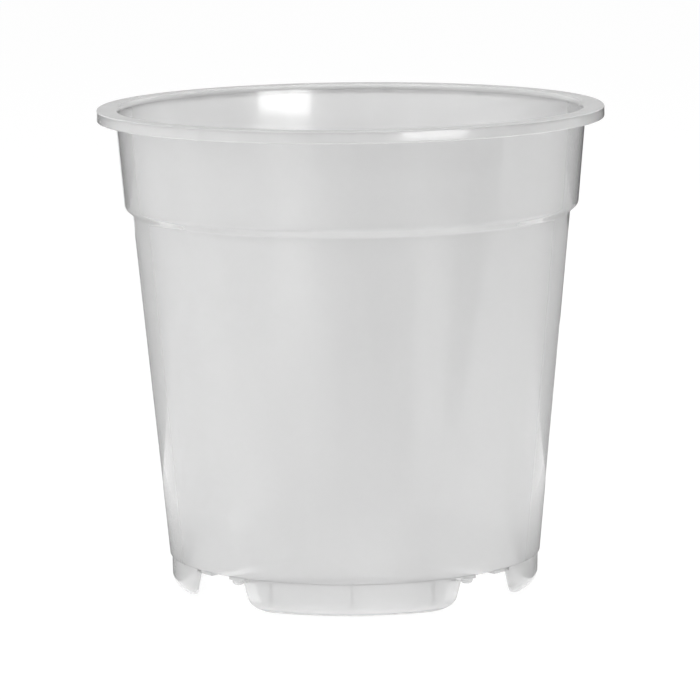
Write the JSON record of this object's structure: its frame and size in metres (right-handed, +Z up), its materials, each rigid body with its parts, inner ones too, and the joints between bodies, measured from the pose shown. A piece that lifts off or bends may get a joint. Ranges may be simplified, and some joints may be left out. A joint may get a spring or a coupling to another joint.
{
  "type": "orchid pot",
  "caption": "Clear milky plastic orchid pot with a flanged rim, a collar above a tapered wall, and a drained floor on hollow feet.",
  "frame": {"origin": "on the ground, under the middle of the pot", "axes": "+Z up along the pot's axis, the front foot towards -Y, +X to the right seen from the front"},
  "size_m": [0.12, 0.12, 0.1145],
  "materials": {
    "milky_plastic": "clear, slightly milky polypropylene with a soft moulded gloss"
  },
  "bodies": {
    "root": {"rim_lip": "milky_plastic", "rim_rib_01": "milky_plastic", "rim_rib_02": "milky_plastic", "rim_rib_03": "milky_plastic", "rim_rib_04": "milky_plastic", "rim_rib_05": "milky_plastic", "rim_rib_06": "milky_plastic", "rim_rib_07": "milky_plastic", "rim_rib_08": "milky_plastic", "rim_rib_09": "milky_plastic", "rim_rib_10": "milky_plastic", "rim_rib_11": "milky_plastic", "rim_rib_12": "milky_plastic", "rim_rib_13": "milky_plastic", "rim_rib_14": "milky_plastic", "collar_band": "milky_plastic", "shoulder_ring": "milky_plastic", "side_wall": "milky_plastic", "floor_plate": "milky_plastic", "foot_front": "milky_plastic", "foot_front_web_left": "milky_plastic", "foot_front_web_middle": "milky_plastic", "foot_front_web_right": "milky_plastic", "foot_right": "milky_plastic", "foot_right_web_left": "milky_plastic", "foot_right_web_middle": "milky_plastic", "foot_right_web_right": "milky_plastic", "foot_back": "milky_plastic", "foot_back_web_left": "milky_plastic", "foot_back_web_middle": "milky_plastic", "foot_back_web_right": "milky_plastic", "foot_left": "milky_plastic", "foot_left_web_left": "milky_plastic", "foot_left_web_middle": "milky_plastic", "foot_left_web_right": "milky_plastic", "drip_pip_front_left": "milky_plastic", "drip_pip_front_right": "milky_plastic", "drip_pip_back_left": "milky_plastic", "drip_pip_back_right": "milky_plastic"}
  },
  "joints": []
}
